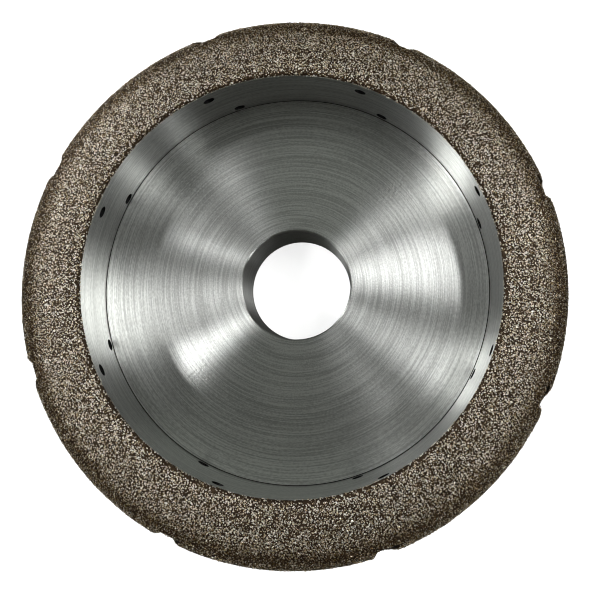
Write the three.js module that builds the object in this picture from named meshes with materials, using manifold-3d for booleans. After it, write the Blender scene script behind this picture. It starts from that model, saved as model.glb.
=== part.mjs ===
// Cup-shaped diamond grinding wheel with a rounded nose, eight helical water grooves and
// sixteen coolant holes. Millimetres, +Z up. The wheel lies on its back face, with the
// origin at the centre of that face and +Z along the axis, out of the recess.
import * as THREE from 'three';
import { mergeVertices } from 'three/addons/utils/BufferGeometryUtils.js';
import Module from 'manifold-3d';

const wasm = await Module();
wasm.setup();

// ---- Driving dimensions -------------------------------------------------------------
const WHEEL_RADIUS = 75; // over the abrasive
const WHEEL_HEIGHT = 50; // back face to the crest of the nose
const BORE_RADIUS = 16;
const RECESS_RADIUS = 56.8;
const WEB_THICKNESS = 26; // back face to the floor of the recess
const NOSE_DROP = 8.2; // crest of the nose to where the side turns straight

// Abrasive layer
const COAT_THICKNESS = 1;
const COAT_GAP = 0.12; // clearance between the layer's solid and the steel's
const LIP_HEIGHT = 1.8; // how far the layer turns down inside the mouth
const NOSE_BAND_DROP = 5.4; // crest to the seam between the nose band and the lands
const SEAM_GAP = 0.3;
const LAND_BACK_Z = 1.5; // the lands stop this far above the back face

// Small turned details of the steel
const BORE_FRONT_CHAMFER = 0.4;
const BORE_BACK_CHAMFER = 1;
const BACK_EDGE_CHAMFER = 1;
const CORNER_FILLET = 0.8; // between the recess floor and its wall

// Helical water grooves
const LAND_COUNT = 8;
const GROOVE_FLOOR_RADIUS = 72.6;
const GROOVE_WIDTH = 6; // across, in a plane square to the axis
const GROOVE_REFERENCE_Z = 43;
const GROOVE_REFERENCE_ANGLE = 20.3; // degrees, centre line of the first groove at that height
const GROOVE_TWIST = 0.514; // degrees for each millimetre up

// Coolant holes, one outer and one inner for each groove, from the recess wall to the groove
const HOLE_RADIUS = 1.5;
const HOLE_HEIGHTS = [42.2, 28];
const HOLE_LEAD = 6.2; // degrees that the wall end is turned ahead of the groove end

// Fineness of the solids
const SEGMENTS = 80;
const NOSE_STEPS = 9;
const LIP_STEPS = 4;
const FILLET_STEPS = 3;
const GROOVE_STEPS = 9;
const HOLE_SIDES = 12;

// ---- Derived sizes ------------------------------------------------------------------
const CORE_RADIUS = WHEEL_RADIUS - COAT_THICKNESS;
const SHOULDER_Z = WHEEL_HEIGHT - NOSE_DROP;
const SEAM_Z = WHEEL_HEIGHT - NOSE_BAND_DROP;
const LAND_PITCH = 360 / LAND_COUNT;
const CUTTER_MARGIN = 3; // how far cutters run past what they cut

// ---- Materials ----------------------------------------------------------------------
const steel = new THREE.MeshStandardMaterial({ color: 0x8f9491, roughness: 0.35, metalness: 1 });
const abrasive = new THREE.MeshStandardMaterial({ color: 0x6e6355, roughness: 0.85, metalness: 0.2 });

// ---- Helpers ------------------------------------------------------------------------
const radians = THREE.MathUtils.degToRad;

/** Points of an elliptical arc in the (radius, height) plane, angles in degrees. */
function arc(centreR, centreZ, semiR, semiZ, fromAngle, toAngle, steps) {
  const points = [];
  for (let i = 0; i <= steps; i += 1) {
    const a = radians(fromAngle + ((toAngle - fromAngle) * i) / steps);
    points.push([centreR + semiR * Math.cos(a), centreZ + semiZ * Math.sin(a)]);
  }
  return points;
}

/** The manifold solid of a closed three.js geometry. */
function solidOf(geometry) {
  const bare = geometry.clone();
  bare.deleteAttribute('normal');
  bare.deleteAttribute('uv');
  const merged = mergeVertices(bare, 1e-4);
  return new wasm.Manifold(
    new wasm.Mesh({
      numProp: 3,
      vertProperties: new Float32Array(merged.attributes.position.array),
      triVerts: new Uint32Array(merged.index.array),
    }),
  );
}

/** A named three.js mesh of a manifold solid. */
function meshOf(name, solid, material) {
  const data = solid.getMesh();
  const geometry = new THREE.BufferGeometry();
  geometry.setAttribute('position', new THREE.BufferAttribute(data.vertProperties, 3));
  geometry.setIndex(new THREE.BufferAttribute(data.triVerts, 1));
  geometry.computeVertexNormals();
  const mesh = new THREE.Mesh(geometry, material);
  mesh.name = name;
  return mesh;
}

/** Turns a closed (radius, height) outline about Z. The outline runs anticlockwise. */
function turned(outline) {
  const points = [...outline, outline[0]].map(([r, z]) => new THREE.Vector2(r, z));
  const geometry = new THREE.LatheGeometry(points, SEGMENTS);
  geometry.rotateX(Math.PI / 2);
  return solidOf(geometry);
}

/** Extrudes a flat outline from lowZ to highZ and twists it about Z with the grooves. */
function helical(outline, centreAngle, lowZ, highZ) {
  const shape = new THREE.Shape(outline.map(([x, y]) => new THREE.Vector2(x, y)));
  const options = { depth: highZ - lowZ, steps: GROOVE_STEPS, bevelEnabled: false };
  const geometry = new THREE.ExtrudeGeometry(shape, options);
  geometry.translate(0, 0, lowZ);
  const position = geometry.attributes.position;
  const point = new THREE.Vector3();
  const axis = new THREE.Vector3(0, 0, 1);
  for (let i = 0; i < position.count; i += 1) {
    point.fromBufferAttribute(position, i);
    const turn = centreAngle + GROOVE_TWIST * (point.z - GROOVE_REFERENCE_Z);
    point.applyAxisAngle(axis, radians(turn));
    position.setXYZ(i, point.x, point.y, point.z);
  }
  return solidOf(geometry);
}

/** Joins a list of solids into one. */
function joined(solids) {
  return solids.reduce((whole, solid) => whole.add(solid));
}

// ---- Cutters ------------------------------------------------------------------------

/** The space of one water groove. */
function grooveCutter(index) {
  const half = GROOVE_WIDTH / 2;
  const outer = WHEEL_RADIUS + CUTTER_MARGIN;
  const outline = [
    [GROOVE_FLOOR_RADIUS, -half],
    [outer, -half],
    [outer, half],
    [GROOVE_FLOOR_RADIUS, half],
  ];
  const centre = GROOVE_REFERENCE_ANGLE + index * LAND_PITCH;
  return helical(outline, centre, -CUTTER_MARGIN, WHEEL_HEIGHT + CUTTER_MARGIN);
}

/** The space of one coolant hole, bored from inside the recess into a groove. */
function holeCutter(index, height) {
  const atGroove =
    GROOVE_REFERENCE_ANGLE + GROOVE_TWIST * (height - GROOVE_REFERENCE_Z) + index * LAND_PITCH;
  const start = new THREE.Vector3(RECESS_RADIUS, 0, 0);
  const end = new THREE.Vector3(GROOVE_FLOOR_RADIUS, 0, 0);
  const axis = new THREE.Vector3(0, 0, 1);
  start.applyAxisAngle(axis, radians(atGroove + HOLE_LEAD));
  end.applyAxisAngle(axis, radians(atGroove));
  const along = end.clone().sub(start);
  const length = along.length() + 2 * CUTTER_MARGIN;
  const geometry = new THREE.CylinderGeometry(HOLE_RADIUS, HOLE_RADIUS, length, HOLE_SIDES);
  const turn = new THREE.Quaternion();
  turn.setFromUnitVectors(new THREE.Vector3(0, 1, 0), along.normalize());
  geometry.applyQuaternion(turn);
  const middle = start.add(end).multiplyScalar(0.5);
  geometry.translate(middle.x, middle.y, height);
  return solidOf(geometry);
}

/** A twisted eighth of the wheel that holds one land, from groove centre to groove centre. */
function landSector(index) {
  const half = radians(LAND_PITCH / 2);
  const near = RECESS_RADIUS;
  const far = WHEEL_RADIUS * 1.25;
  const outline = [
    [near * Math.cos(half), -near * Math.sin(half)],
    [far * Math.cos(half), -far * Math.sin(half)],
    [far * Math.cos(half), far * Math.sin(half)],
    [near * Math.cos(half), near * Math.sin(half)],
  ];
  const centre = GROOVE_REFERENCE_ANGLE + (index + 0.5) * LAND_PITCH;
  return helical(outline, centre, -CUTTER_MARGIN, WHEEL_HEIGHT + CUTTER_MARGIN);
}

// ---- Sub-parts ----------------------------------------------------------------------

/** The steel core: hub and web, rim, bore, recess, grooves and coolant holes. */
function wheelCore(grooves, holes) {
  const crestZ = WHEEL_HEIGHT - COAT_THICKNESS;
  const outline = [
    [BORE_RADIUS + BORE_BACK_CHAMFER, 0],
    [CORE_RADIUS - BACK_EDGE_CHAMFER, 0],
    [CORE_RADIUS, BACK_EDGE_CHAMFER],
    ...arc(
      RECESS_RADIUS,
      SHOULDER_Z,
      CORE_RADIUS - RECESS_RADIUS,
      crestZ - SHOULDER_Z,
      0,
      90,
      NOSE_STEPS,
    ),
    ...arc(
      RECESS_RADIUS - CORNER_FILLET,
      WEB_THICKNESS + CORNER_FILLET,
      CORNER_FILLET,
      CORNER_FILLET,
      0,
      -90,
      FILLET_STEPS,
    ),
    [BORE_RADIUS + BORE_FRONT_CHAMFER, WEB_THICKNESS],
    [BORE_RADIUS, WEB_THICKNESS - BORE_FRONT_CHAMFER],
    [BORE_RADIUS, BORE_BACK_CHAMFER],
  ];
  return turned(outline).subtract(grooves).subtract(holes);
}

/** The abrasive layer as one ring, from inside the mouth, over the nose and down the side. */
function coatRing() {
  const inner = COAT_GAP - COAT_THICKNESS;
  const outerNose = [RECESS_RADIUS, SHOULDER_Z, WHEEL_RADIUS - RECESS_RADIUS, NOSE_DROP];
  const innerNose = [outerNose[0], outerNose[1], outerNose[2] + inner, outerNose[3] + inner];
  const lipCentreZ = WHEEL_HEIGHT - COAT_THICKNESS;
  const lipBottomZ = WHEEL_HEIGHT - LIP_HEIGHT;
  return turned([
    [WHEEL_RADIUS + inner, LAND_BACK_Z],
    [WHEEL_RADIUS, LAND_BACK_Z],
    ...arc(...outerNose, 0, 90, NOSE_STEPS),
    ...arc(RECESS_RADIUS, lipCentreZ, COAT_THICKNESS, COAT_THICKNESS, 90, 180, LIP_STEPS).slice(1),
    [RECESS_RADIUS - COAT_THICKNESS, lipBottomZ],
    [RECESS_RADIUS - COAT_GAP, lipBottomZ],
    [RECESS_RADIUS - COAT_GAP, lipCentreZ + COAT_GAP],
    ...arc(...innerNose, 90, 0, NOSE_STEPS),
  ]);
}

/** A plain disc between two heights, wider than the wheel. */
function slab(lowZ, highZ) {
  const outer = WHEEL_RADIUS + CUTTER_MARGIN;
  return turned([
    [0, lowZ],
    [outer, lowZ],
    [outer, highZ],
    [0, highZ],
  ]);
}

// ---- The assembly -------------------------------------------------------------------
const grooves = joined(Array.from({ length: LAND_COUNT }, (_, i) => grooveCutter(i)));
const holes = joined(
  Array.from({ length: LAND_COUNT }, (_, i) => HOLE_HEIGHTS.map((z) => holeCutter(i, z))).flat(),
);

const wheel = new THREE.Group();
wheel.add(meshOf('wheel_core', wheelCore(grooves, holes), steel));

const coat = coatRing().subtract(grooves);
const noseBand = coat.intersect(slab(SEAM_Z, WHEEL_HEIGHT + CUTTER_MARGIN));
wheel.add(meshOf('nose_coat', noseBand, abrasive));

const sideBand = coat.intersect(slab(-CUTTER_MARGIN, SEAM_Z - SEAM_GAP));
for (let i = 0; i < LAND_COUNT; i += 1) {
  const land = sideBand.intersect(landSector(i));
  wheel.add(meshOf(`land_coat_${i + 1}`, land, abrasive));
}

export default wheel;
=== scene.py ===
"""Looks of a cup-shaped diamond grinding wheel: turned steel core, braze darkened with painted shade, and
diamond grains.
"""

import math

import bpy
import numpy as np
from mathutils import Matrix, Quaternion, Vector


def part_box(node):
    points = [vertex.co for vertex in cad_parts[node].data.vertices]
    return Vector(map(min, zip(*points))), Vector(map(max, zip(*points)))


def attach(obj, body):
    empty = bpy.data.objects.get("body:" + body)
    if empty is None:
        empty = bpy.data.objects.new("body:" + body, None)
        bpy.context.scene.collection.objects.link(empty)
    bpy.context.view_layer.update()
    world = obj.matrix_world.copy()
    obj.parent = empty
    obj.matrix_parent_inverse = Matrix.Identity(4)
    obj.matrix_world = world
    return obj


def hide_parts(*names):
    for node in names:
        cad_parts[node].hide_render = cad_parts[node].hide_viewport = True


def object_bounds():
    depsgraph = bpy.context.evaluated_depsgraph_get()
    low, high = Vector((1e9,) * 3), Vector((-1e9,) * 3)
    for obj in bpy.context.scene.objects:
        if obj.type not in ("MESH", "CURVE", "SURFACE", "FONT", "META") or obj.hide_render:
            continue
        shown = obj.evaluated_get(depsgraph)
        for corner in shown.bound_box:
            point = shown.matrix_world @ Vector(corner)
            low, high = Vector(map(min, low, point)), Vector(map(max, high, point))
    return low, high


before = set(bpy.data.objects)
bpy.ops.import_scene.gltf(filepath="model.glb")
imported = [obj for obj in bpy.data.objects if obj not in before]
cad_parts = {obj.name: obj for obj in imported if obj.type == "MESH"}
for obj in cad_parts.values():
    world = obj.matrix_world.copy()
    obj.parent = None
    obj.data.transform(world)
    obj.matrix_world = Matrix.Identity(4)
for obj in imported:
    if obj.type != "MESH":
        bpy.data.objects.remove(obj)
cad_low, cad_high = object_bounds()

# ---- Sizes, in metres, in the CAD's frame ---------------------------------------------
MM = 0.001
WHEEL_RADIUS = cad_high.x
WHEEL_HEIGHT = cad_high.z
CORE_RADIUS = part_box("wheel_core")[1].x
COAT = WHEEL_RADIUS - CORE_RADIUS
BORE_RADIUS = 16 * MM
RECESS_RADIUS = 56.8 * MM
WEB_THICKNESS = 26 * MM
NOSE_DROP = 8.2 * MM
SHOULDER_Z = WHEEL_HEIGHT - NOSE_DROP
CREST_Z = WHEEL_HEIGHT - COAT
LIP_BOTTOM_Z = WHEEL_HEIGHT - 1.8 * MM
LAND_BACK_Z = 1.5 * MM
CORNER_FILLET = 0.12 * MM
RELIEF_DEPTH = 0.3 * MM  # of the fine undercut at the foot of the recess wall
RELIEF_FLAT = 0.08 * MM
RELIEF_SLOPE = 0.08 * MM
BORE_FRONT_CHAMFER = 0.4 * MM
BORE_BACK_CHAMFER = 1 * MM
BACK_EDGE_CHAMFER = 1 * MM

LAND_COUNT = 8
PITCH = 2 * math.pi / LAND_COUNT
GROOVE_FLOOR_RADIUS = 72.6 * MM
GROOVE_CORNER = 0.7 * MM
GROOVE_WIDTH = 6 * MM
GROOVE_REFERENCE_Z = 43 * MM
GROOVE_REFERENCE_ANGLE = math.radians(20.3)
GROOVE_TWIST = math.radians(0.514) / MM  # radians for each metre up
HOLE_RADIUS = 1.5 * MM
HOLE_HEIGHTS = (42.2 * MM, 28 * MM)
HOLE_LEAD = math.radians(6.2)  # from a hole's end in the groove to its mouth in the wall
CUT_BEYOND = 3 * MM  # how far the cutting bodies reach past the steel

BOND_HEIGHT = 0.66 * MM  # braze above the steel; the grains stand up to COAT
GRAIN_PITCH = 0.43 * MM
GRAIN_RADIUS = 0.23 * MM
GRAIN_TILT = math.radians(10)
GRAIN_ROW = 0.9 * GRAIN_PITCH
GRAIN_SCATTER_ROUND = 0.42 * GRAIN_PITCH
GRAIN_SCATTER_ALONG = 0.38 * GRAIN_PITCH
GRAIN_LOSS = 0.015  # share of the sites left without a grain
GRAIN_CLEARANCE = 0.02 * MM  # between the highest grains and the CAD's outer face
GRAIN_FOOT = 0.03 * MM  # least height of a grain's corner above the steel
LIP_ROUND = 0.3 * MM
BOND_REACH = 1 * MM  # how far in from an edge the braze takes to come to full height
BOND_SINK = 0.04 * MM  # how far the braze's back lies inside the steel
BOND_WAVES = 0.035 * MM
FIRST_ROW = 0.18 * MM  # from the start of the layer to the first row of grains
LAST_ROW_GAP = 0.2 * MM
END_MARGIN = 0.12 * MM
EDGE_MARGIN = 0.08 * MM

# Tone of the grains, from 0 for dark brown to 1 for white. Part of it is painted light: grains on the
# crest, lip and outer flank are made lighter.
TONE_BASE = 0.02
# Painted highlight: how much lighter the grains on the crest and lip are made
TONE_CREST_LIGHT = 0.44
TONE_SPREAD = 0.62
TONE_FACETS = 0.27
# Painted light: how much lighter the grains on the outer flank and sides are made
TONE_FLANK_LIGHT = 0.55
GLINT_SHARE = 0.012
GLINT_TONE = 0.6
# Where the painted crest highlight starts and where it is full
CREST_LIGHT_FROM, CREST_LIGHT_FULL = 0.86, 0.985  # upward part of the surface's normal
FLANK_LIGHT_REACH = 0.36

TURN_SEGMENTS = 720
HOLE_SEGMENTS = 40
NOSE_SECTORS = 6

rng = np.random.default_rng(20)


# ---- Small helpers --------------------------------------------------------------------
def groove_angle(z):
    """Centre line of the first groove at height z."""
    return GROOVE_REFERENCE_ANGLE + GROOVE_TWIST * (z - GROOVE_REFERENCE_Z)


def mesh_object(name, vertices, faces, material=None):
    """A mesh object of its own in the scene."""
    mesh = bpy.data.meshes.new(name)
    mesh.from_pydata([tuple(v) for v in vertices], [], [tuple(f) for f in faces])
    mesh.update()
    obj = bpy.data.objects.new(name, mesh)
    bpy.context.scene.collection.objects.link(obj)
    if material is not None:
        mesh.materials.append(material)
    return obj


def arc(centre_r, centre_z, semi_r, semi_z, start, end, steps):
    """Points of an elliptical arc in the (radius, height) plane, angles in degrees."""
    angles = np.radians(np.linspace(start, end, steps + 1))
    return [(centre_r + semi_r * math.cos(a), centre_z + semi_z * math.sin(a)) for a in angles]


def line(start, end, steps):
    """Points of a straight stretch, without its last point."""
    t = np.arange(steps) / steps
    return [(start[0] + (end[0] - start[0]) * k, start[1] + (end[1] - start[1]) * k) for k in t]


def grid_faces(rows, columns, close_rows, close_columns):
    """Quads of a rows by columns grid of vertices, as index rows."""
    r = np.arange(rows if close_rows else rows - 1)
    c = np.arange(columns if close_columns else columns - 1)
    r0, c0 = np.meshgrid(r, c, indexing="ij")
    r1, c1 = (r0 + 1) % rows, (c0 + 1) % columns
    quads = [r0 * columns + c0, r0 * columns + c1, r1 * columns + c1, r1 * columns + c0]
    return np.stack(quads, axis=-1).reshape(-1, 4)


def lathe(name, outline, segments):
    """Turns a closed (radius, height) outline, anticlockwise, about Z."""
    profile = np.array(outline)
    turn = np.linspace(0, 2 * math.pi, segments, endpoint=False)
    x = profile[:, :1] * np.cos(turn)
    y = profile[:, :1] * np.sin(turn)
    z = np.repeat(profile[:, 1:], segments, axis=1)
    vertices = np.stack([x, y, z], axis=-1).reshape(-1, 3)
    return mesh_object(name, vertices, grid_faces(len(profile), segments, True, True))


# ---- Steel core -----------------------------------------------------------------------
def core_outline():
    """Half section of the steel core."""
    nose_r, nose_z = CORE_RADIUS - RECESS_RADIUS, CREST_Z - SHOULDER_Z
    points = []
    points += line((BORE_RADIUS + BORE_BACK_CHAMFER, 0), (CORE_RADIUS - BACK_EDGE_CHAMFER, 0), 8)
    points += line((CORE_RADIUS - BACK_EDGE_CHAMFER, 0), (CORE_RADIUS, BACK_EDGE_CHAMFER), 1)
    points += line((CORE_RADIUS, BACK_EDGE_CHAMFER), (CORE_RADIUS, SHOULDER_Z), 12)
    points += arc(RECESS_RADIUS, SHOULDER_Z, nose_r, nose_z, 0, 90, 24)
    inner = RECESS_RADIUS - CORNER_FILLET
    lift = WEB_THICKNESS - RELIEF_DEPTH + CORNER_FILLET
    points += line((RECESS_RADIUS, CREST_Z), (RECESS_RADIUS, lift), 10)[1:]
    points += arc(inner, lift, CORNER_FILLET, CORNER_FILLET, 0, -90, 8)
    points += [(inner - RELIEF_FLAT, WEB_THICKNESS - RELIEF_DEPTH)]
    rim = inner - RELIEF_FLAT - RELIEF_SLOPE
    bore_edge = (BORE_RADIUS + BORE_FRONT_CHAMFER, WEB_THICKNESS)
    points += line((rim, WEB_THICKNESS), bore_edge, 8)
    points += [bore_edge]
    bore_foot = (BORE_RADIUS, BORE_BACK_CHAMFER)
    points += line((BORE_RADIUS, WEB_THICKNESS - BORE_FRONT_CHAMFER), bore_foot, 6)
    points += [bore_foot]
    return points


def groove_cutter(index):
    """The space of one helical groove, with small radii along its floor."""
    half, corner = GROOVE_WIDTH / 2, GROOVE_CORNER
    top = WHEEL_RADIUS + CUT_BEYOND
    section = [(top, -half)]
    section += arc(GROOVE_FLOOR_RADIUS + corner, -half + corner, corner, corner, 270, 180, 4)
    section += arc(GROOVE_FLOOR_RADIUS + corner, half - corner, corner, corner, 180, 90, 4)
    section += [(top, half)]
    section = np.array(section)
    heights = np.linspace(-CUT_BEYOND, WHEEL_HEIGHT + CUT_BEYOND, 60)
    rows = []
    for z in heights:
        a = groove_angle(z) + index * PITCH
        x = section[:, 0] * math.cos(a) - section[:, 1] * math.sin(a)
        y = section[:, 0] * math.sin(a) + section[:, 1] * math.cos(a)
        rows.append(np.stack([x, y, np.full(len(x), z)], axis=-1))
    vertices = np.concatenate(rows)
    n = len(section)
    faces = [tuple(f) for f in grid_faces(len(heights), n, False, True)[:, ::-1]]
    faces.append(tuple(range(n)))
    faces.append(tuple(range(len(vertices) - 1, len(vertices) - n - 1, -1)))
    return vertices, faces


def hole_cutter(index, height):
    """One coolant hole, from the recess wall to the floor of its groove."""
    at_groove = groove_angle(height) + index * PITCH
    at_wall = at_groove + HOLE_LEAD
    start = Vector((math.cos(at_wall), math.sin(at_wall), 0)) * RECESS_RADIUS
    end = Vector((math.cos(at_groove), math.sin(at_groove), 0)) * GROOVE_FLOOR_RADIUS
    along = (end - start).normalized()
    side = along.cross(Vector((0, 0, 1)))
    vertices = []
    for offset in (-CUT_BEYOND, (end - start).length + CUT_BEYOND):
        for k in range(HOLE_SEGMENTS):
            a = 2 * math.pi * k / HOLE_SEGMENTS
            p = start + along * offset + side * HOLE_RADIUS * math.cos(a)
            vertices.append((p.x, p.y, height + HOLE_RADIUS * math.sin(a)))
    faces = [tuple(f) for f in grid_faces(2, HOLE_SEGMENTS, False, True)[:, ::-1]]
    faces.append(tuple(range(HOLE_SEGMENTS)))
    faces.append(tuple(range(2 * HOLE_SEGMENTS - 1, HOLE_SEGMENTS - 1, -1)))
    return np.array(vertices), faces


def cutters_object():
    """All grooves and holes as one mesh of separate closed bodies."""
    parts = [groove_cutter(i) for i in range(LAND_COUNT)]
    parts += [hole_cutter(i, z) for i in range(LAND_COUNT) for z in HOLE_HEIGHTS]
    vertices, faces, base = [], [], 0
    for part_vertices, part_faces in parts:
        vertices.append(part_vertices)
        faces += [tuple(int(i) + base for i in f) for f in part_faces]
        base += len(part_vertices)
    return mesh_object("cutters", np.concatenate(vertices), faces)


def cut(obj, cutter):
    """Subtracts the cutter from the object's mesh and removes the cutter."""
    modifier = obj.modifiers.new("cut", "BOOLEAN")
    modifier.operation = "DIFFERENCE"
    modifier.solver = "EXACT"
    modifier.use_self = True
    modifier.object = cutter
    graph = bpy.context.evaluated_depsgraph_get()
    mesh = bpy.data.meshes.new_from_object(obj.evaluated_get(graph))
    obj.modifiers.clear()
    obj.data = mesh
    bpy.data.objects.remove(cutter)


def turned_normals(mesh):
    """Gives each face of revolution the exact turned normal, and leaves cut faces flat."""
    count = len(mesh.loops)
    normals = np.empty((count, 3))
    co = np.empty(len(mesh.vertices) * 3)
    mesh.vertices.foreach_get("co", co)
    co = co.reshape(-1, 3)
    for poly in mesh.polygons:
        n, c = np.array(poly.normal), np.array(poly.center)
        radius = math.hypot(c[0], c[1])
        radial = (n[0] * c[0] + n[1] * c[1]) / radius
        around = (n[1] * c[0] - n[0] * c[1]) / radius
        loops = range(poly.loop_start, poly.loop_start + poly.loop_total)
        for i in loops:
            if abs(around) > 0.03 or abs(radial) < 1e-4:
                normals[i] = n
                continue
            v = co[mesh.loops[i].vertex_index]
            r = math.hypot(v[0], v[1])
            normals[i] = (radial * v[0] / r, radial * v[1] / r, n[2])
    mesh.polygons.foreach_set("use_smooth", np.ones(len(mesh.polygons), dtype=bool))
    mesh.normals_split_custom_set(normals.tolist())


def is_in_groove(centres):
    """Which points lie in a groove, on its floor or sides."""
    radius = np.hypot(centres[:, 0], centres[:, 1])
    turn = np.arctan2(centres[:, 1], centres[:, 0]) - groove_angle(centres[:, 2])
    off = (turn + PITCH / 2) % PITCH - PITCH / 2
    inside = np.abs(radius * np.sin(off)) < GROOVE_WIDTH / 2 + 0.02 * MM
    return inside & (radius > GROOVE_FLOOR_RADIUS - 0.3 * MM) & (radius < CORE_RADIUS - 0.02 * MM)


def make_core(materials):
    """The steel core, turned, then cut. Grooves and undercut share one dark material, which is painted
    shade in the undercut, and the holes have a near-black one, which is painted shade.
    """
    core = lathe("core_steel", core_outline(), TURN_SEGMENTS)
    cut(core, cutters_object())
    mesh = core.data
    for material in materials:
        mesh.materials.append(material)
    centres = np.empty(len(mesh.polygons) * 3)
    mesh.polygons.foreach_get("center", centres)
    centres = centres.reshape(-1, 3)
    radius = np.hypot(centres[:, 0], centres[:, 1])
    height = centres[:, 2]
    # Painted shade: faces inside the coolant holes get the near-black material
    bored = (radius > RECESS_RADIUS + 0.1 * MM) & (radius < GROOVE_FLOOR_RADIUS - 0.1 * MM)
    bored &= (height > 20 * MM) & (height < SHOULDER_Z + 3 * MM)
    # Painted shade: the faces of the fine undercut get the dark material, for the shade in that narrow
    # groove
    relief = (radius > RECESS_RADIUS - 1 * MM) & (radius < RECESS_RADIUS + 0.1 * MM)
    relief &= (height < WEB_THICKNESS - 0.02 * MM) & (height > WEB_THICKNESS - 2 * RELIEF_DEPTH)
    index = np.where(bored, 2, np.where(is_in_groove(centres) | relief, 1, 0))
    mesh.polygons.foreach_set("material_index", index.astype(np.int32))
    turned_normals(mesh)
    return core


# ---- Abrasive layer -------------------------------------------------------------------
def coat_path():
    """Points along the coated line of the core's section, and how far along it each one lies."""
    nose_r, nose_z = CORE_RADIUS - RECESS_RADIUS, CREST_Z - SHOULDER_Z
    points = [(RECESS_RADIUS, LIP_BOTTOM_Z), (RECESS_RADIUS, CREST_Z - LIP_ROUND)]
    points += arc(RECESS_RADIUS + LIP_ROUND, CREST_Z - LIP_ROUND, LIP_ROUND, LIP_ROUND, 180, 90, 6)
    points += arc(RECESS_RADIUS, SHOULDER_Z, nose_r, nose_z, 89, 0, 90)
    points += [(CORE_RADIUS, LAND_BACK_Z)]
    points = np.array(points)
    steps = np.hypot(*np.diff(points, axis=0).T)
    keep = np.r_[True, steps > 1e-7]
    points = points[keep]
    distance = np.r_[0, np.cumsum(np.hypot(*np.diff(points, axis=0).T))]
    return points, distance


PATH, PATH_S = coat_path()


def path_at(s):
    """Radius, height and outward normal on the coated line at distance s."""
    r = np.interp(s, PATH_S, PATH[:, 0])
    z = np.interp(s, PATH_S, PATH[:, 1])
    d = 0.12 * MM
    dr = np.interp(s + d, PATH_S, PATH[:, 0]) - np.interp(s - d, PATH_S, PATH[:, 0])
    dz = np.interp(s + d, PATH_S, PATH[:, 1]) - np.interp(s - d, PATH_S, PATH[:, 1])
    length = np.hypot(dr, dz)
    return r, z, -dz / length, dr / length


def edge_distance(turn, s):
    """Distance to the nearest edge of the layer: lip, back end or groove. Negative in a groove."""
    r, z, _, _ = path_at(s)
    ends = np.minimum(s, PATH_S[-1] - s)
    off = (turn - groove_angle(z) + PITCH / 2) % PITCH - PITCH / 2
    across = np.abs(r * np.sin(off)) - GROOVE_WIDTH / 2
    beyond = RUN_OUT - s
    groove = np.where(beyond > 0, np.hypot(beyond, np.maximum(across, 0)), across)
    return np.minimum(ends, groove)


def coat_height(turn, s, full):
    """Height of the layer above the steel, rounded down to nothing at its edges."""
    t = np.clip(edge_distance(turn, s) / BOND_REACH, 0, 1)
    return full * np.sqrt(1 - (1 - t) ** 2)


def on_coat(turn, s, height):
    """Places in space at a height above the steel."""
    r, z, nr, nz = path_at(s)
    reach = r + nr * height
    return np.stack([reach * np.cos(turn), reach * np.sin(turn), z + nz * height], axis=-1)


def run_out_distance():
    """Where along the coated line the grooves run out on the nose."""
    rising = (PATH[:, 1] < CREST_Z) & (PATH_S > 3 * MM)
    return float(np.interp(GROOVE_FLOOR_RADIUS, PATH[rising, 0], PATH_S[rising]))


RUN_OUT = run_out_distance()
LIP_LENGTH = CREST_Z - LIP_BOTTOM_Z
END = float(PATH_S[-1])


def spaced(start, end, step, fine_start, fine_end):
    """Values from start to end, closer together at the ends that are asked for."""
    near = np.array([0.06, 0.16, 0.3, 0.48, 0.7, 1.0, 1.4]) * MM
    inner_start = start + (near[-1] if fine_start else 0)
    inner_end = end - (near[-1] if fine_end else 0)
    count = max(2, int(round((inner_end - inner_start) / step)) + 1)
    values = list(np.linspace(inner_start, inner_end, count))
    if fine_start:
        values = [start] + list(start + near[:-1]) + values
    if fine_end:
        values = values + list((end - near[:-1])[::-1]) + [end]
    return np.array(values)


def unevenness(turn, s):
    """Gentle waviness of the braze, worked out from the place alone."""
    x, y, z = (on_coat(turn, s, 0 * s) / MM).transpose(2, 0, 1)
    waves = np.sin(x * 1.9 + np.sin(y * 1.3)) + np.sin(y * 2.3 + np.sin(z * 1.7))
    waves = waves + np.sin(z * 2.1 + np.sin(x * 1.1))
    return waves * BOND_WAVES


def closed_sheet(name, turn, s, wrap, material):
    """A thin closed body: the layer's outer face over (turn, s) grids, and a back inside the steel."""
    height = coat_height(turn, s, BOND_HEIGHT)
    height = height + unevenness(turn, s) * np.clip(height / BOND_HEIGHT, 0, 1)
    rows, columns = turn.shape
    outer = on_coat(turn, s, height).reshape(-1, 3)
    inner = on_coat(turn, s, np.full_like(s, -BOND_SINK)).reshape(-1, 3)
    count = rows * columns
    front = grid_faces(rows, columns, False, wrap)
    faces = [front, front[:, ::-1] + count]
    c = np.arange(columns if wrap else columns - 1)
    nxt = (c + 1) % columns
    last = (rows - 1) * columns
    faces.append(np.stack([c + count, nxt + count, nxt, c], axis=-1))
    faces.append(np.stack([last + c, last + nxt, last + nxt + count, last + c + count], axis=-1))
    if not wrap:
        r = np.arange(rows - 1) * columns
        n = r + columns
        faces.append(np.stack([r, n, n + count, r + count], axis=-1))
        e, f = r + columns - 1, n + columns - 1
        faces.append(np.stack([e + count, f + count, f, e], axis=-1))
    obj = mesh_object(name, np.concatenate([outer, inner]), np.concatenate(faces), material)
    obj.data.polygons.foreach_set("use_smooth", np.ones(len(obj.data.polygons), dtype=bool))
    return obj


def land_turns(s, index, across):
    """Turn angles over one land at distances s, from groove edge to groove edge."""
    r, z, _, _ = path_at(s)
    edge = np.arcsin(GROOVE_WIDTH / 2 / r)
    start = groove_angle(z) + index * PITCH + edge
    return start[:, None] + (PITCH - 2 * edge)[:, None] * across[None, :]


def land_fractions(step):
    """Fractions across a land, closer together by its edges."""
    width = PITCH * CORE_RADIUS - GROOVE_WIDTH
    return spaced(0, width, step, True, True) / width


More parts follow.
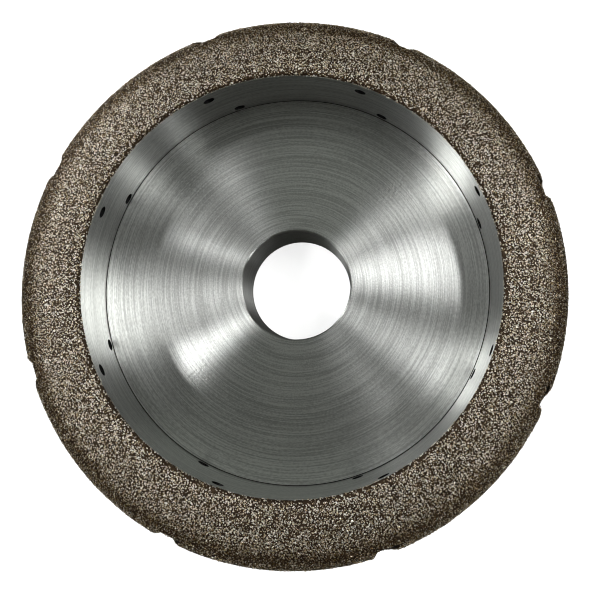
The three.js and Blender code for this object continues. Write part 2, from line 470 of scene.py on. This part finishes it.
def make_nose_bond(material):
    """The braze over the lip and the nose, as far as the grooves' run-out."""
    s = spaced(0, RUN_OUT, 0.7 * MM, True, True)
    across = land_fractions(0.7 * MM)
    gap = np.linspace(0, 1, 9)[1:-1]
    turns = []
    for index in range(LAND_COUNT):
        land = land_turns(s, index, across)
        following = land_turns(s, index + 1, across)[:, :1]
        turns += [land, land[:, -1:] + (following - land[:, -1:]) * gap]
    turn = np.concatenate(turns, axis=1)
    return closed_sheet("nose_bond", turn, np.repeat(s[:, None], turn.shape[1], 1), True, material)


def make_land_bond(index, material):
    """The braze on one land, from the run-out to the back."""
    s = spaced(RUN_OUT, END, 0.8 * MM, False, True)
    turn = land_turns(s, index, land_fractions(0.7 * MM))
    grid = np.repeat(s[:, None], turn.shape[1], 1)
    return closed_sheet(f"land_bond_{index + 1}", turn, grid, False, material)


def grain_forms():
    """Crystal forms with +Z outward, as vertices and triangles: block, octahedron and low pyramid."""
    top, foot = 0.62, 0.9
    block = [(x * top, y * top, 0.5) for x in (-1, 1) for y in (-1, 1)]
    block += [(x * foot, y * foot, -0.6) for x in (-1, 1) for y in (-1, 1)]
    block_quads = [(0, 2, 3, 1), (4, 5, 7, 6), (0, 4, 6, 2), (3, 7, 5, 1), (1, 5, 4, 0), (2, 6, 7, 3)]
    block_faces = [f for q in block_quads for f in ((q[0], q[1], q[2]), (q[0], q[2], q[3]))]
    third = 2 * math.pi / 3
    octa = [(0.8 * math.cos(a), 0.8 * math.sin(a), 0.45) for a in np.arange(3) * third]
    octa += [(math.cos(a), math.sin(a), -0.5) for a in (np.arange(3) + 0.5) * third]
    octa_faces = [(0, 1, 2), (5, 4, 3)] + [(i, 3 + i, (i + 1) % 3) for i in range(3)]
    octa_faces += [((i + 1) % 3, 3 + i, 3 + (i + 1) % 3) for i in range(3)]
    ring = [(math.cos(a), math.sin(a), -0.05) for a in np.arange(5) * 2 * math.pi / 5]
    low = ring + [(0.1, 0, 0.42), (0, 0, -0.8)]
    low_faces = [(i, (i + 1) % 5, 5) for i in range(5)] + [((i + 1) % 5, i, 6) for i in range(5)]
    forms = ((block, block_faces), (octa, octa_faces), (low, low_faces))
    return [(np.array(v, float), np.array(f)) for v, f in forms]


def crest_share(upward):
    """How much a place gets the painted highlight of the crest, from its normal's upward part."""
    t = np.clip((upward - CREST_LIGHT_FROM) / (CREST_LIGHT_FULL - CREST_LIGHT_FROM), 0, 1)
    return t * t * (3 - 2 * t)


def grain_frames(turn, s):
    """Axes of each grain as columns, tilted a little and turned at random, and the surface's normals."""
    _, _, nr, nz = path_at(s)
    normal = np.stack([nr * np.cos(turn), nr * np.sin(turn), nz], axis=-1)
    lean = rng.normal(size=(len(s), 3)) * math.tan(GRAIN_TILT)
    out = normal + lean
    out /= np.linalg.norm(out, axis=1, keepdims=True)
    side = np.cross(out, rng.normal(size=(len(s), 3)))
    side /= np.linalg.norm(side, axis=1, keepdims=True)
    return np.stack([side, np.cross(out, side), out], axis=-1), normal


def grain_sites():
    """Jittered sites over the whole layer, as (turn, s)."""
    turns, distances = [], []
    row = FIRST_ROW
    while row < END - LAST_ROW_GAP:
        radius = float(path_at(np.array([row]))[0][0])
        count = int(round(2 * math.pi * radius / GRAIN_PITCH))
        base = (np.arange(count) + rng.random()) * 2 * math.pi / count
        turns.append(base + rng.normal(size=count) * GRAIN_SCATTER_ROUND / radius)
        distances.append(row + rng.normal(size=count) * GRAIN_SCATTER_ALONG)
        row += GRAIN_ROW
    turn = np.concatenate(turns)
    s = np.clip(np.concatenate(distances), END_MARGIN, END - END_MARGIN)
    keep = (edge_distance(turn, s) > EDGE_MARGIN) & (rng.random(len(s)) > GRAIN_LOSS)
    return turn[keep], s[keep]


def inside_wheel(points):
    """Draws points that stand past the wheel's outer radius or height back to just inside them."""
    margin = 0.01 * MM
    radius = np.hypot(points[:, 0], points[:, 1])
    points[:, :2] *= np.minimum(1, (WHEEL_RADIUS - margin) / radius)[:, None]
    points[:, 2] = np.minimum(points[:, 2], WHEEL_HEIGHT - margin)
    return points


def grain_object(name, turn, s, material):
    """Diamond grains standing in the braze, each one its own small closed crystal."""
    forms = grain_forms()
    kind = rng.choice(len(forms), size=len(s), p=[0.35, 0.35, 0.3])
    seat = coat_height(turn, s, BOND_HEIGHT)
    size = GRAIN_RADIUS * rng.lognormal(0, 0.16, len(s))
    axes, normal = grain_frames(turn, s)
    stand = seat + size * rng.uniform(-0.25, 0.25, len(s))
    vertices, faces, tones, base = [], [], [], 0
    for k, (form, triangles) in enumerate(forms):
        pick = np.flatnonzero(kind == k)
        stretch = rng.uniform(0.75, 1.2, (len(pick), 1, 3))
        local = form[None] * stretch * size[pick, None, None]
        local = local * rng.uniform(0.85, 1.12, local.shape)
        local = np.einsum("nij,nvj->nvi", axes[pick], local)
        rise = np.einsum("nvi,ni->nv", local, normal[pick]) + stand[pick, None]
        limit = COAT - GRAIN_CLEARANCE
        wanted = np.clip(rise, GRAIN_FOOT, limit)
        local = local + (wanted - rise)[..., None] * normal[pick][:, None, :]
        centre = on_coat(turn[pick], s[pick], stand[pick])
        vertices.append(inside_wheel((local + centre[:, None, :]).reshape(-1, 3)))
        count = len(form)
        offsets = base + np.arange(len(pick))[:, None, None] * count
        faces.append((triangles[None] + offsets).reshape(-1, 3))
        # Painted highlight: grains on the upward-facing crest and on the lip are made lighter, for the
        # light that falls on them from above
        crest_light = np.maximum(crest_share(normal[pick, 2]), np.where(s[pick] < LIP_LENGTH, 0.9, 0))
        shade = TONE_BASE + TONE_CREST_LIGHT * crest_light + TONE_SPREAD * rng.random(len(pick))
        # Painted light: grains on the outer flank and sides are made lighter, for the light that reaches
        # them from low around the wheel
        shade = shade + TONE_FLANK_LIGHT * np.clip(CREST_LIGHT_FROM - normal[pick, 2], 0, FLANK_LIGHT_REACH)
        facets = shade[:, None] + rng.normal(0, TONE_FACETS, (len(pick), len(triangles)))
        glint = rng.random(facets.shape) < GLINT_SHARE
        tones.append(np.where(glint, facets + GLINT_TONE, facets).ravel())
        base += len(pick) * count
    obj = mesh_object(name, np.concatenate(vertices), np.concatenate(faces), material)
    tone = obj.data.attributes.new("tone", "FLOAT", "FACE")
    tone.data.foreach_set("value", np.concatenate(tones).astype(np.float32))
    return obj


# ---- Materials ------------------------------------------------------------------------
def new_material(name):
    """An empty node material and its Principled shader."""
    material = bpy.data.materials.new(name)
    material.use_nodes = True
    tree = material.node_tree
    tree.nodes.clear()
    output = tree.nodes.new("ShaderNodeOutputMaterial")
    shader = tree.nodes.new("ShaderNodeBsdfPrincipled")
    tree.links.new(shader.outputs["BSDF"], output.inputs["Surface"])
    return material, tree, shader


def put(tree, socket, value):
    """Links a socket, or sets its value."""
    if isinstance(value, bpy.types.NodeSocket):
        tree.links.new(value, socket)
    else:
        socket.default_value = value


def math_node(tree, operation, a, b=0.0, c=0.0):
    """The result of one Math node."""
    node = tree.nodes.new("ShaderNodeMath")
    node.operation = operation
    for socket, value in zip(node.inputs, (a, b, c)):
        put(tree, socket, value)
    return node.outputs[0]


def noise(tree, vector, scale, detail=2.0, roughness=0.5):
    """Noise from 0 to 1 over a vector."""
    node = tree.nodes.new("ShaderNodeTexNoise")
    put(tree, node.inputs["Vector"], vector)
    node.inputs["Scale"].default_value = scale
    node.inputs["Detail"].default_value = detail
    node.inputs["Roughness"].default_value = roughness
    return node.outputs["Fac"]


def ramp(tree, value, stops):
    """A colour ramp over (place, colour) stops."""
    node = tree.nodes.new("ShaderNodeValToRGB")
    put(tree, node.inputs["Fac"], value)
    elements = node.color_ramp.elements
    while len(elements) < len(stops):
        elements.new(0.5)
    for element, (place, colour) in zip(elements, stops):
        element.position = place
        element.color = (*colour, 1)
    return node.outputs["Color"]


def map_range(tree, value, low, high, to_low, to_high):
    """A value stretched from one range to another."""
    node = tree.nodes.new("ShaderNodeMapRange")
    for socket, v in zip(node.inputs, (value, low, high, to_low, to_high)):
        put(tree, socket, v)
    return node.outputs[0]


def place(tree):
    """The position in the object's own space, which is the CAD's frame, in metres."""
    return tree.nodes.new("ShaderNodeTexCoord").outputs["Object"]


def lathe_coordinates(tree):
    """Unit direction round the axis, and travel of the tool along the section in millimetres."""
    split = tree.nodes.new("ShaderNodeSeparateXYZ")
    tree.links.new(place(tree), split.inputs[0])
    x, y, z = split.outputs
    x_square = math_node(tree, "MULTIPLY", x, x)
    y_square = math_node(tree, "MULTIPLY", y, y)
    radius = math_node(tree, "SQRT", math_node(tree, "ADD", x_square, y_square))
    across = math_node(tree, "DIVIDE", x, radius)
    up = math_node(tree, "DIVIDE", y, radius)
    travel = math_node(tree, "MULTIPLY", math_node(tree, "ADD", radius, z), 1 / MM)
    return across, up, travel


def streaks(tree, coordinates, around, along, detail=2.0):
    """Noise drawn out round the axis: around sets how fast it changes with angle, along with travel."""
    across, up, travel = coordinates
    join = tree.nodes.new("ShaderNodeCombineXYZ")
    put(tree, join.inputs[0], math_node(tree, "MULTIPLY", across, around))
    put(tree, join.inputs[1], math_node(tree, "MULTIPLY", up, around))
    put(tree, join.inputs[2], math_node(tree, "MULTIPLY", travel, along))
    return noise(tree, join.outputs[0], 1.0, detail)


def weighted(tree, *parts):
    """The sum of (value, weight) pairs."""
    total = 0.0
    for value, weight in parts:
        total = math_node(tree, "MULTIPLY_ADD", value, weight, total)
    return total


def bump(tree, height, strength, distance):
    """A normal bent by a height."""
    node = tree.nodes.new("ShaderNodeBump")
    node.inputs["Strength"].default_value = strength
    node.inputs["Distance"].default_value = distance
    put(tree, node.inputs["Height"], height)
    return node.outputs["Normal"]


def turned_steel():
    """Bright steel with concentric tool marks, which spread highlights across the marks."""
    material, tree, shader = new_material("turned_steel")
    at = lathe_coordinates(tree)
    grit = streaks(tree, at, 55.0, 2.6, 1.0)
    lines = streaks(tree, at, 1.6, 2.8, 3.0)
    medium = streaks(tree, at, 2.5, 0.8, 2.0)
    broad = streaks(tree, at, 1.2, 0.22, 1.0)
    shader.inputs["Metallic"].default_value = 1
    tone = weighted(tree, (lines, 0.6), (grit, 0.3), (medium, 0.1))
    colour = ramp(tree, tone, [(0.4, (0.45, 0.457, 0.442)), (0.6, (0.73, 0.741, 0.717))])
    put(tree, shader.inputs["Base Color"], colour)
    mixed = weighted(tree, (medium, 0.6), (broad, 0.4))
    put(tree, shader.inputs["Roughness"], map_range(tree, mixed, 0.3, 0.7, 0.275, 0.285))
    shader.inputs["Anisotropic"].default_value = 1
    shader.inputs["Anisotropic Rotation"].default_value = 0.25
    height = weighted(tree, (lines, 0.5), (grit, 0.5))
    tangent = tree.nodes.new("ShaderNodeTangent")
    tangent.direction_type = "RADIAL"
    tangent.axis = "Z"
    put(tree, shader.inputs["Tangent"], tangent.outputs[0])
    put(tree, shader.inputs["Normal"], bump(tree, height, 1, 0.055 * MM))
    return material


def dark_steel_and_painted_shade():
    """Dark steel, mottled, on the floors and sides of the grooves, and in the undercut, where the darkness
    is painted shade.
    """
    material, tree, shader = new_material("dark_steel_and_painted_shade")
    stain = noise(tree, place(tree), 260, 4, 0.6)
    colour = ramp(tree, stain, [(0.3, (0.035, 0.032, 0.03)), (0.7, (0.10, 0.095, 0.09))])
    put(tree, shader.inputs["Base Color"], colour)
    shader.inputs["Metallic"].default_value = 1
    put(tree, shader.inputs["Roughness"], map_range(tree, stain, 0.3, 0.7, 0.5, 0.7))
    put(tree, shader.inputs["Normal"], bump(tree, noise(tree, place(tree), 1500, 3), 0.4, 0.03 * MM))
    return material


def hole_steel_painted_shade():
    """Nearly black steel inside the coolant holes, painted shade for the deep, narrow holes."""
    material, tree, shader = new_material("hole_steel_painted_shade")
    # Painted shade: the near-black colour and its mottling stand for the shade deep inside the holes
    scale = noise(tree, place(tree), 900, 3)
    stops = [(0.3, (0.004, 0.004, 0.004)), (0.7, (0.015, 0.015, 0.014))]
    put(tree, shader.inputs["Base Color"], ramp(tree, scale, stops))
    shader.inputs["Metallic"].default_value = 0.6
    put(tree, shader.inputs["Roughness"], map_range(tree, scale, 0.3, 0.7, 0.45, 0.65))
    return material


def braze_and_painted_shade():
    """The braze between the grains: brown-grey metal, pitted, made very dark as painted shade in the gaps
    between the grains.
    """
    material, tree, shader = new_material("braze_and_painted_shade")
    at = place(tree)
    cloud = noise(tree, at, 420, 4, 0.6)
    pits = noise(tree, at, 2600, 3, 0.6)
    # Painted shade: these dark colours stand for the shade in the gaps between the grains, as well as for
    # the braze's own brown-grey
    stops = [(0.3, (0.020, 0.010, 0.0036)), (0.55, (0.045, 0.026, 0.011)), (0.8, (0.085, 0.054, 0.027))]
    put(tree, shader.inputs["Base Color"], ramp(tree, cloud, stops))
    shader.inputs["Metallic"].default_value = 0.6
    put(tree, shader.inputs["Roughness"], map_range(tree, pits, 0.3, 0.7, 0.45, 0.65))
    put(tree, shader.inputs["Normal"], bump(tree, pits, 0.7, 0.15 * MM))
    return material


def diamond_grain():
    """Beige to brown diamond grains, with a tone of its own on each facet and a few that glint."""
    material, tree, shader = new_material("diamond_grain")
    # The tone holds the grains' own tone and also painted light: lighter grains on the crest, lip and outer
    # flank
    tone = tree.nodes.new("ShaderNodeAttribute")
    tone.attribute_name = "tone"
    at = place(tree)
    cloud = noise(tree, at, 2200, 3, 0.6)
    tone_part = math_node(tree, "MULTIPLY", tone.outputs["Fac"], 0.8)
    mixed = math_node(tree, "ADD", tone_part, math_node(tree, "MULTIPLY", cloud, 0.2))
    stops = [(0.1, (0.052, 0.031, 0.0135)), (0.35, (0.24, 0.178, 0.104)), (0.6, (0.50, 0.417, 0.288))]
    stops += [(0.8, (0.82, 0.74, 0.60)), (0.95, (1.0, 0.98, 0.91))]
    tint = noise(tree, at, 1500, 2)
    depth = noise(tree, at, 1900, 2)
    vary = tree.nodes.new("ShaderNodeHueSaturation")
    put(tree, vary.inputs["Hue"], map_range(tree, tint, 0.3, 0.7, 0.48, 0.52))
    put(tree, vary.inputs["Saturation"], map_range(tree, depth, 0.3, 0.7, 0.55, 1.45))
    put(tree, vary.inputs["Color"], ramp(tree, mixed, stops))
    put(tree, shader.inputs["Base Color"], vary.outputs["Color"])
    shader.inputs["Metallic"].default_value = 1
    put(tree, shader.inputs["Roughness"], map_range(tree, cloud, 0.3, 0.7, 0.38, 0.5))
    put(tree, shader.inputs["Normal"], bump(tree, cloud, 0.3, 0.05 * MM))
    return material


def pale_floor():
    """The plain white ground."""
    material, tree, shader = new_material("pale_floor")
    shader.inputs["Base Color"].default_value = (0.9, 0.9, 0.9, 1)
    shader.inputs["Roughness"].default_value = 0.9
    shader.inputs["Emission Color"].default_value = (1, 1, 1, 1)
    shader.inputs["Emission Strength"].default_value = 0.75
    return material


# ---- Stage ----------------------------------------------------------------------------
LIGHT_DISTANCE = 0.9
WHITE = (1, 1, 1)
GREENISH = (0.945, 1, 0.93)
WARM = (1, 0.96, 0.84)
# Name, azimuth from +X and elevation of the middle, then width, height and roll, all in degrees as the
# wheel sees them, brightness in watts for each square metre and steradian, and colour
SOFTBOXES = (
    ("right_key", 18, 44, 17, 28, 0, 5.6, WHITE),
    ("right_high", 21, 66.5, 11, 5.5, -15, 17.0, WHITE),
    ("left_low", 206, 43, 8, 14, 0, 4.6, WHITE),
    ("left_low_high", 205, 54, 7, 7, 0, 37.0, WHITE),
    ("upper_left_low", 146, 25, 4.5, 22, 0, 21.0, WHITE),
    ("upper_left", 154, 37, 3.5, 15, 0, 18.0, WHITE),
    ("upper_left_high", 154, 52, 3, 13, 0, 12.5, WHITE),
    ("upper_left_side", 138, 54, 7, 16, 0, 0.81, WHITE),
    ("upper_side", 124, 60, 3.5, 18, 0, 3.0, WHITE),
    ("lower_right", 328, 28, 4, 28, 0, 6.7, WHITE),
    ("lower_right_side", 308, 26, 3, 24, 0, 4.2, WHITE),
    ("lower_right_high", 308, 62, 1.5, 8, 0, 8.0, WHITE),
    ("right_top", 336, 74, 2, 8, 0, 11.0, WHITE),
    ("left_top", 172, 74, 4.5, 8, 0, 2.8, WHITE),
    ("far", 84, 45, 44, 18, 0, 0.42, GREENISH),
    ("far_high", 88, 63, 26, 17, 0, 0.38, GREENISH),
    ("near", 275, 45, 44, 18, 0, 0.05, WARM),
    ("near_high", 270, 66, 26, 15, 0, 0.044, WARM),
    ("top", 100, 84, 18, 18, 0, 0.23, GREENISH),
)


def make_camera():
    """The camera above the wheel, a little to the right and in front of its axis."""
    camera = bpy.data.objects.new("camera", bpy.data.cameras.new("camera"))
    bpy.context.scene.collection.objects.link(camera)
    forward = Vector((-0.03716, 0.17618, -0.98366)).normalized()
    right = forward.cross(Vector((-0.0065, 0.98434, 0.17630))).normalized()
    up = right.cross(forward)
    turn = Matrix((right, up, -forward)).transposed()
    camera.matrix_world = Matrix.Translation((16.4 * MM, -18.3 * MM, 245.2 * MM)) @ turn.to_4x4()
    camera.data.sensor_width = 36
    camera.data.lens = 44.59
    camera.data.shift_x = -0.0411
    camera.data.shift_y = -0.1421
    camera.data.clip_start = 0.005
    bpy.context.scene.camera = camera


def make_softbox(name, azimuth, elevation, width, height, roll, brightness, colour):
    """A rectangular soft light that faces the wheel."""
    data = bpy.data.lights.new(name, "AREA")
    data.shape = "RECTANGLE"
    data.size, data.size_y = (LIGHT_DISTANCE * math.radians(angle) for angle in (width, height))
    data.energy = brightness * math.pi * data.size * data.size_y
    data.color = colour
    light = bpy.data.objects.new(name, data)
    bpy.context.scene.collection.objects.link(light)
    a, e = math.radians(azimuth), math.radians(elevation)
    direction = Vector((math.cos(a) * math.cos(e), math.sin(a) * math.cos(e), math.sin(e)))
    light.location = direction * LIGHT_DISTANCE
    light.rotation_mode = "QUATERNION"
    turn = Quaternion(direction, math.radians(roll))
    light.rotation_quaternion = turn @ direction.to_track_quat("Z", "Y")


def make_stage():
    """The floor, the dim room and the softboxes."""
    corners = [(-2, -2, 0), (2, -2, 0), (2, 2, 0), (-2, 2, 0)]
    floor = mesh_object("floor", corners, [(0, 1, 2, 3)], pale_floor())
    floor.visible_diffuse = False
    floor.visible_glossy = False
    world = bpy.data.worlds.new("studio")
    world.use_nodes = True
    world.node_tree.nodes["Background"].inputs["Color"].default_value = (*WARM, 1)
    world.node_tree.nodes["Background"].inputs["Strength"].default_value = 0.015
    bpy.context.scene.world = world
    bpy.context.scene.view_settings.view_transform = "Standard"
    bpy.context.scene.cycles.filter_width = 1.0
    for softbox in SOFTBOXES:
        make_softbox(*softbox)


# ---- Assembly -------------------------------------------------------------------------
def add_piece(obj, slot, *nodes):
    """Rides a piece on the wheel's one body and hides the CAD parts it stands in for. The slot is not used.
    """
    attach(obj, "root")
    if nodes:
        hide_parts(*nodes)


make_camera()
make_stage()
add_piece(make_core([turned_steel(), dark_steel_and_painted_shade(), hole_steel_painted_shade()]), "steel", "wheel_core")

braze, diamond = braze_and_painted_shade(), diamond_grain()
add_piece(make_nose_bond(braze), "diamond_coat", "nose_coat")
for i in range(LAND_COUNT):
    add_piece(make_land_bond(i, braze), "diamond_coat", f"land_coat_{i + 1}")

site_turn, site_s = grain_sites()
on_nose = site_s < RUN_OUT
land_of = np.floor((site_turn - groove_angle(path_at(site_s)[1])) / PITCH).astype(int) % LAND_COUNT
sector = np.floor(site_turn * NOSE_SECTORS / (2 * math.pi)).astype(int) % NOSE_SECTORS
for i in range(NOSE_SECTORS):
    mine = on_nose & (sector == i)
    grains = grain_object(f"nose_grains_{i + 1}", site_turn[mine], site_s[mine], diamond)
    add_piece(grains, "diamond_coat")
for i in range(LAND_COUNT):
    mine = ~on_nose & (land_of == i)
    grains = grain_object(f"land_grains_{i + 1}", site_turn[mine], site_s[mine], diamond)
    add_piece(grains, "diamond_coat")
